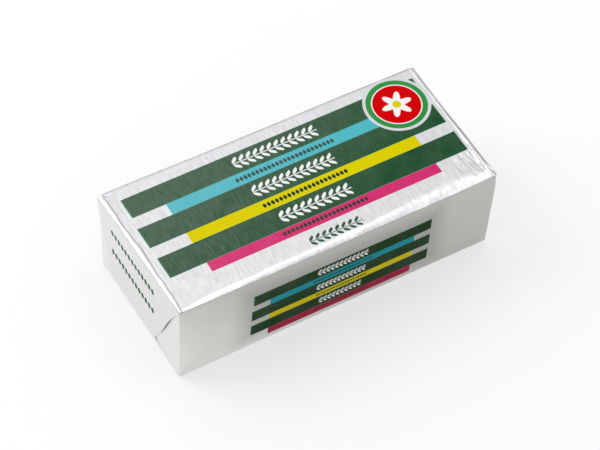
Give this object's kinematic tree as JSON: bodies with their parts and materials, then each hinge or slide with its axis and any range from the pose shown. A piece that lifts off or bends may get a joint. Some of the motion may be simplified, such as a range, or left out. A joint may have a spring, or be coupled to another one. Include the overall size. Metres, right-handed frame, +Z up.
{
  "type": "wrapped butter block",
  "caption": "Shut brick of butter wrapped in printed foil, with folded end panels, tucks and a lapped underside.",
  "frame": {"origin": "on the resting plane, under the middle of the block", "axes": "+X along the length, +Y across the width, +Z up; the main print faces +Z, and each long side carries the small print"},
  "size_m": [0.1284, 0.0576, 0.039],
  "materials": {
    "foil_wrapper": "satin foil laminate with printed bands"
  },
  "bodies": {
    "root": {"wrapped_block": "foil_wrapper"}
  },
  "joints": []
}
